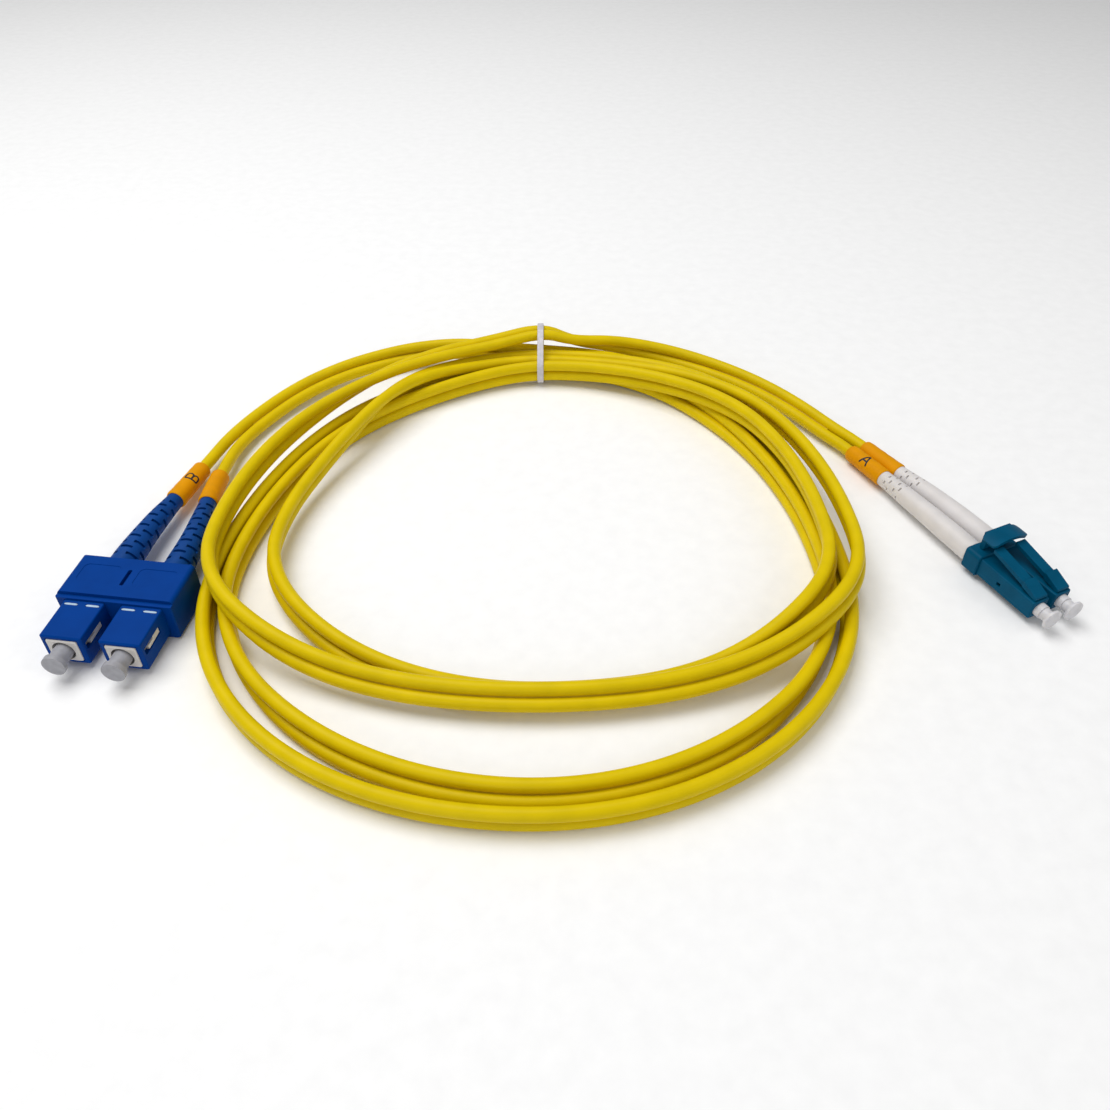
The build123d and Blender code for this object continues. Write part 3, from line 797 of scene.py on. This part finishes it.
def add_boot(name, plug, shape, material):
    """A tapered boot with rows of flex slots. Its places run back from its front edge."""
    line = PLUG_LINES[plug]
    length, table, rows = shape["length"], shape["radii"], shape["rows"]
    width, spread, turns = shape["slot_width"], shape["slot_spread"], shape["turns"]
    slots = [2 * pi * (number + 0.5) / shape["slots"] for number in range(shape["slots"])]
    angles = boot_angles(slots, spread, turns)

    def cut(mark, angle):
        """How deep a slot is at this point."""
        for number, row in enumerate(rows):
            if abs(mark - row) < width / 2 + SLOT_EDGE / 2:
                for slot in slots:
                    off = turn_between(angle, slot + turns[number % len(turns)])
                    if abs(off) < spread / 2 + SLOT_EDGE_TURN / 2:
                        return shape["slot_depth"]
        return 0.0

    rings = []
    for mark in boot_marks(length, rows, width):
        section = line.section(mark - shape["front"])
        outside = profile(table, mark)
        rings.append(around(section, lambda angle: outside - cut(mark, angle), angles))
    for share in BORE_SHARES:
        section = line.section(share * length - shape["front"])
        rings.append(around(section, lambda angle: BOOT_BORE, angles))
    return add_mesh(name, *skin(rings, closed=True), material, sharp=30)


# The front is how far a boot reaches forward of where its jacket's line starts. The radii are
# those of its outside, by place, and the rows are the places of its rows of slots. Two rows that
# follow each other are turned round the boot by the two turns.
SC_BOOT = {
    "front": 4.0 * MM,
    "length": 33.0 * MM,
    "radii": [(0, 3.3 * MM), (9 * MM, 3.2 * MM), (22 * MM, 2.6 * MM), (33 * MM, 1.95 * MM)],
    "rows": [(8.0 + 2.05 * row) * MM for row in range(11)],
    "slots": 4,
    "slot_width": 0.75 * MM,
    "slot_spread": radians(52),
    "slot_depth": 0.55 * MM,
    "turns": (0.0, radians(45)),
}
LC_BOOT = {
    "front": 2.95 * MM,
    "length": 32.95 * MM,
    "radii": [(0, 2.7 * MM), (9 * MM, 2.65 * MM), (21 * MM, 2.4 * MM), (32.95 * MM, 1.95 * MM)],
    "rows": [24.2 * MM, 25.6 * MM, 27.8 * MM, 29.2 * MM],
    "slots": 6,
    "slot_width": 0.4 * MM,
    "slot_spread": radians(24),
    "slot_depth": 0.45 * MM,
    "turns": (radians(-8), radians(22)),
}


def add_boots():
    """The four strain relief boots."""
    for end, shape, material, slot in (
        ("sc", SC_BOOT, BLUE_BOOT, "blue_boot"),
        ("lc", LC_BOOT, WHITE_BOOT, "white_boot"),
    ):
        for letter in "ab":
            boot = add_boot(f"{end}_boot_slotted_{letter}", f"{end}_{letter}", shape, material)
            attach(boot, "base")
            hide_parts(f"{end}_boot_{letter}")


# The painted highlights of an SC grip: pale bars on its ribs, coloured to stand in for the glint of
# light there. In millimetres of its plug pair: their place along the plug and on each side of its
# middle, half their size, the height of their sides, crown and root, and how many steps they are
# drawn in. At its two ends a bar narrows down to a share of its size.
HIGHLIGHT_ALONG = -9.4
HIGHLIGHT_OFFSETS = (-2.4, 2.4)
HIGHLIGHT_HALF_LENGTH = 0.28
HIGHLIGHT_HALF_WIDTH = 1.48
HIGHLIGHT_SIDES = 3.68
HIGHLIGHT_CROWN = 0.1
HIGHLIGHT_ROOT = 3.42
HIGHLIGHT_STEPS = 12
HIGHLIGHT_CORNERS = 8
HIGHLIGHT_TIP = 0.2
HIGHLIGHT_SQUARENESS = 6


def highlight_ring(lateral, size):
    """A cross section of a painted highlight bar: crowned on top, flat at the root."""
    ring = []
    for corner in range(HIGHLIGHT_CORNERS + 1):
        turn = pi * corner / HIGHLIGHT_CORNERS
        along = HIGHLIGHT_ALONG + cos(turn) * HIGHLIGHT_HALF_LENGTH * size
        ring.append(spot(SC_END, along, lateral, HIGHLIGHT_SIDES + HIGHLIGHT_CROWN * sin(turn) * size))
    for side in (-1, 1):
        along = HIGHLIGHT_ALONG + side * HIGHLIGHT_HALF_LENGTH * size
        ring.append(spot(SC_END, along, lateral, HIGHLIGHT_ROOT))
    return ring


def add_grip_highlights():
    """The two painted highlights on top of each SC grip: low crowned pale bars, coloured as glints of
    light.
    """
    for letter, side in (("a", -1), ("b", 1)):
        for number, offset in enumerate(HIGHLIGHT_OFFSETS):
            middle = side * SC_PITCH / 2 / MM + offset
            rings = []
            for step in range(HIGHLIGHT_STEPS + 1):
                share = 2 * step / HIGHLIGHT_STEPS - 1
                size = max(HIGHLIGHT_TIP, (1 - abs(share) ** HIGHLIGHT_SQUARENESS) ** 0.5)
                rings.append(highlight_ring(middle + share * HIGHLIGHT_HALF_WIDTH, size))
            mark = add_mesh(f"sc_grip_mark_{letter}{number + 1}", *skin(rings, False), PAINTED_HIGHLIGHT)
            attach(mark, "sc_grip")


# ---------------------------------------------------------------------------------------------
# Marker sleeves and their polarity letters
# ---------------------------------------------------------------------------------------------

# Each sleeve: where it starts on its jacket's line, its length, and its radii at its two ends.
SLEEVES = {
    "sc_a": (27.5 * MM, 14.0 * MM, 2.45 * MM, 2.25 * MM),
    "sc_b": (27.5 * MM, 12.0 * MM, 2.45 * MM, 2.25 * MM),
    "lc_a": (28.5 * MM, 13.0 * MM, 2.30 * MM, 2.15 * MM),
    "lc_b": (28.5 * MM, 13.0 * MM, 2.30 * MM, 2.15 * MM),
}
SLEEVE_BORE = 1.6 * MM
SLEEVE_SOCKET = 2.08 * MM
SOCKET_DEPTH = SLEEVE_LAP + 0.3 * MM
SLEEVE_CORNERS = 48

# A sleeve's ends are rounded off over a short stretch, and its outside is a little wavy.
ROUNDED_STRETCH = 0.6 * MM
ROUNDED_DEPTH = 0.25 * MM
EDGE_MARKS = [0.0, 0.06 * MM, 0.15 * MM, 0.3 * MM, 0.6 * MM]
WAVE_DEPTH = 0.03 * MM
WAVE_TURN = 1.9 / MM


def bow(across, up, radius):
    """The round side of a bow of the letter B."""
    turns = (0, 0.8, 1.57, 2.3, pi)
    return [(across + radius * sin(turn), up + radius * cos(turn)) for turn in turns]


# Strokes of the letters, as (along the sleeve, round it) in shares of the letter's height.
LETTERS = {
    "A": [
        [(-0.38, 0.0), (0.0, 1.0)],
        [(0.38, 0.0), (0.0, 1.0)],
        [(-0.24, 0.36), (0.24, 0.36)],
    ],
    "B": [
        [(-0.3, 0.0), (-0.3, 1.0)],
        [(-0.3, 1.0), *bow(0.05, 0.76, 0.24), (-0.3, 0.52)],
        [(-0.3, 0.52), *bow(0.08, 0.26, 0.26), (-0.3, 0.0)],
    ],
}

# The sleeves that carry a letter: how far along the sleeve its middle is, and how many degrees
# round from the top.
PRINTED = {
    "sc_a": ("B", 7.5 * MM, 28),
    "lc_a": ("A", 6.4 * MM, -22),
}
LETTER_HEIGHT = 3.2 * MM
LETTER_STROKE = 0.45 * MM
INK_DEPTH = 0.05 * MM


def sleeve_radius(plug, mark):
    """The outside of a marker sleeve, rounded off at its two ends."""
    _, length, front_radius, rear_radius = SLEEVES[plug]
    end = min(mark, length - mark) / ROUNDED_STRETCH
    rounding = ROUNDED_DEPTH * (1 - min(1.0, end)) ** 2
    wave = WAVE_DEPTH * sin(mark * WAVE_TURN)
    return mix(front_radius, rear_radius, mark / length) - rounding + wave


def add_sleeve(plug):
    """A soft sleeve pushed over the boot's tail."""
    start, length, _, _ = SLEEVES[plug]
    line = PLUG_LINES[plug]
    angles = [2 * pi * step / SLEEVE_CORNERS for step in range(SLEEVE_CORNERS)]
    marks = EDGE_MARKS + [step * MM for step in range(1, round(length / MM))]
    marks += [length - mark for mark in reversed(EDGE_MARKS)]
    rings = []
    for mark in marks:
        radius = sleeve_radius(plug, mark)
        rings.append(around(line.section(start + mark), lambda angle: radius, angles))
    for mark, radius in (
        (length, SLEEVE_BORE),
        (length / 2, SLEEVE_BORE),
        (SOCKET_DEPTH, SLEEVE_BORE),
        (SOCKET_DEPTH, SLEEVE_SOCKET),
        (0.0, SLEEVE_SOCKET),
    ):
        rings.append(around(line.section(start + mark), lambda angle: radius, angles))
    return add_mesh(f"{plug}_sleeve", *skin(rings, closed=True), ORANGE)


def dense(stroke, step=0.06):
    """A stroke with points close enough together to lie on the round sleeve."""
    points = []
    for (x0, y0), (x1, y1) in zip(stroke, stroke[1:]):
        length = ((x1 - x0) ** 2 + (y1 - y0) ** 2) ** 0.5
        count = max(1, round(length / step))
        points += [(mix(x0, x1, n / count), mix(y0, y1, n / count)) for n in range(count)]
    return points + [stroke[-1]]


def add_letter(plug):
    """The polarity letter printed round a sleeve."""
    letter, middle, degrees_round = PRINTED[plug]
    facing = radians(degrees_round)
    start = SLEEVES[plug][0]
    line = PLUG_LINES[plug]
    points = []
    faces = []
    for stroke in LETTERS[letter]:
        path = dense(stroke)
        rings = []
        for number, (x, y) in enumerate(path):
            before = path[max(0, number - 1)]
            after = path[min(len(path) - 1, number + 1)]
            run = Vector((after[0] - before[0], after[1] - before[1])).normalized()
            ring = []
            for across, height in ((-1, -1), (1, -1), (1, 1), (-1, 1)):
                along = x * LETTER_HEIGHT - run.y * across * LETTER_STROKE / 2
                over = (y - 0.5) * LETTER_HEIGHT + run.x * across * LETTER_STROKE / 2
                mark = middle + along
                radius = sleeve_radius(plug, mark)
                section = line.section(start + mark)
                outside = radius + height * INK_DEPTH / 2
                ring += around(section, lambda angle: outside, [facing + over / radius])
            rings.append(ring)
        stroke_points, stroke_faces = skin(rings, closed=False)
        faces += [tuple(index + len(points) for index in face) for face in stroke_faces]
        points += stroke_points
    return add_mesh(f"letter_{letter.lower()}", points, faces, INK)


def add_sleeves():
    """The four sleeves; one of each pair shows its letter. Returns them by plug."""
    pieces = {}
    for plug in SLEEVES:
        end, letter = plug.split("_")
        sleeve = add_sleeve(plug)
        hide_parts(f"{end}_marker_sleeve_{letter}")
        pieces[plug] = [sleeve]
    for plug in PRINTED:
        pieces[plug].append(add_letter(plug))
    for group in pieces.values():
        for piece in group:
            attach(piece, "base")
    return pieces


# ---------------------------------------------------------------------------------------------
# The web between the jackets, and the tie round the coil
# ---------------------------------------------------------------------------------------------

WEB_WIDTH = 0.5 * MM
WEB_HEIGHT = 0.8 * MM

# The web runs wherever the two jackets' middles are closer than this.
JOINED = 3.25 * MM

TIE_INSIDE = JACKET / 2 + 0.03 * MM
TIE_THICKNESS = 0.55 * MM
TIE_CORNER = 0.15 * MM
TIE_STEPS = 120


def add_web():
    """The thin web that joins the two jackets between the two points where they part."""
    rings = []
    both = list(zip(LINES[1], LINES[-1]))
    for number, (first, second) in enumerate(both):
        if (second - first).length > JOINED:
            continue
        ahead = (both[min(number + 1, len(both) - 1)][0] - both[number - 1][0]).normalized()
        across = (second - first).normalized() * WEB_WIDTH / 2
        over = ahead.cross(across).normalized() * WEB_HEIGHT / 2
        centre = (first + second) / 2
        rings.append(
            [
                centre + across + over,
                centre - across + over,
                centre - across - over,
                centre + across - over,
            ]
        )
    web = add_mesh("cord_web", *skin(rings, closed=False), YELLOW_WEB, sharp=50)
    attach(web, "base")
    return web


def tie_crossings():
    """Where the jackets pass through the plane of the tie, as (y, z)."""
    places = []
    for line in LINES.values():
        for before, after in zip(line, line[1:]):
            crosses = (before.x - TIE_X) * (after.x - TIE_X) <= 0 and before.x != after.x
            if crosses and before.y > 0:
                share = (TIE_X - before.x) / (after.x - before.x)
                place = before.lerp(after, share)
                places.append(Vector((place.y, place.z)))
    return places


def add_tie():
    """The flat tie, drawn tight round the bundle."""
    places = tie_crossings()
    half = TIE_WIDTH / 2
    outline = [
        (-half + TIE_CORNER, 0),
        (half - TIE_CORNER, 0),
        (half, TIE_CORNER),
        (half, TIE_THICKNESS - TIE_CORNER),
        (half - TIE_CORNER, TIE_THICKNESS),
        (-half + TIE_CORNER, TIE_THICKNESS),
        (-half, TIE_THICKNESS - TIE_CORNER),
        (-half, TIE_CORNER),
    ]
    rings = []
    for step in range(TIE_STEPS):
        angle = 2 * pi * step / TIE_STEPS
        way = Vector((cos(angle), sin(angle)))
        furthest = max(places, key=lambda place: place.dot(way))
        ring = []
        for across, out in outline:
            place = furthest + way * (TIE_INSIDE + out)
            ring.append(Vector((TIE_X + across, place.x, place.y)))
        rings.append(ring)
    tie = add_mesh("tie_band", *skin(rings, closed=True), TIE)
    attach(tie, "base")
    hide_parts("twist_tie")
    return tie


# ---------------------------------------------------------------------------------------------
# Springs
# ---------------------------------------------------------------------------------------------


# The springs, in millimetres along their plugs: rear end, front end, radius of the coil, thickness
# of the wire, and how far the ferrule travels.
SPRINGS = {
    "sc": (SC_END, SC_PITCH, -14.2, -9.3, 1.85, 0.4, 2.0),
    "lc": (LC_END, LC_PITCH, -11.65, -6.95, 1.15, 0.3, 1.5),
}
SPRING_TURNS = 5
STEPS_PER_TURN = 28
WIRE_CORNERS = 10


def add_spring(name, kind, side):
    """A compression spring, drawn at one fixed length."""
    end, pitch, rear, front, radius, wire, travel = SPRINGS[kind]
    lateral = side * pitch / 2 / MM
    steps = STEPS_PER_TURN * SPRING_TURNS
    length = front - rear - wire
    axis = []
    centres = []
    for step in range(steps + 1):
        angle = 2 * pi * SPRING_TURNS * step / steps
        along = rear + wire / 2 + length * step / steps
        axis.append(spot(end, along, lateral))
        centres.append(spot(end, along, lateral + radius * cos(angle), radius * sin(angle)))
    rings = []
    for number, centre in enumerate(centres):
        run = centres[min(number + 1, steps)] - centres[max(number - 1, 0)]
        out = (centre - axis[number]).normalized()
        over = run.normalized().cross(out).normalized()
        ring = []
        for corner in range(WIRE_CORNERS):
            turn = 2 * pi * corner / WIRE_CORNERS
            ring.append(centre + (out * cos(turn) + over * sin(turn)) * (wire / 2 * MM))
        rings.append(ring)
    spring = add_mesh(f"{name}_coil", *skin(rings, closed=False), WIRE)
    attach(spring, "base")
    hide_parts(name)
    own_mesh(spring)


def add_springs():
    """The springs behind the four ferrules."""
    for letter, side in (("a", -1), ("b", 1)):
        for kind in SPRINGS:
            add_spring(f"{kind}_spring_{letter}", kind, side)


# ---------------------------------------------------------------------------------------------
# Everything in place
# ---------------------------------------------------------------------------------------------

add_boots()
# The pale bars on the SC grips are painted highlights.
add_grip_highlights()
add_springs()
sleeves = add_sleeves()
web = add_web()
tie = add_tie()
for side, (sc_letter, lc_letter) in CORD_ENDS.items():
    cord = cords[side]
    pieces = sleeves[f"sc_{sc_letter}"] + sleeves[f"lc_{lc_letter}"]
    if side == 1:
        pieces += [web, tie]
    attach(cord, "base")
    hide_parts("coil", f"sc_lead_{sc_letter}", f"lc_lead_{lc_letter}")
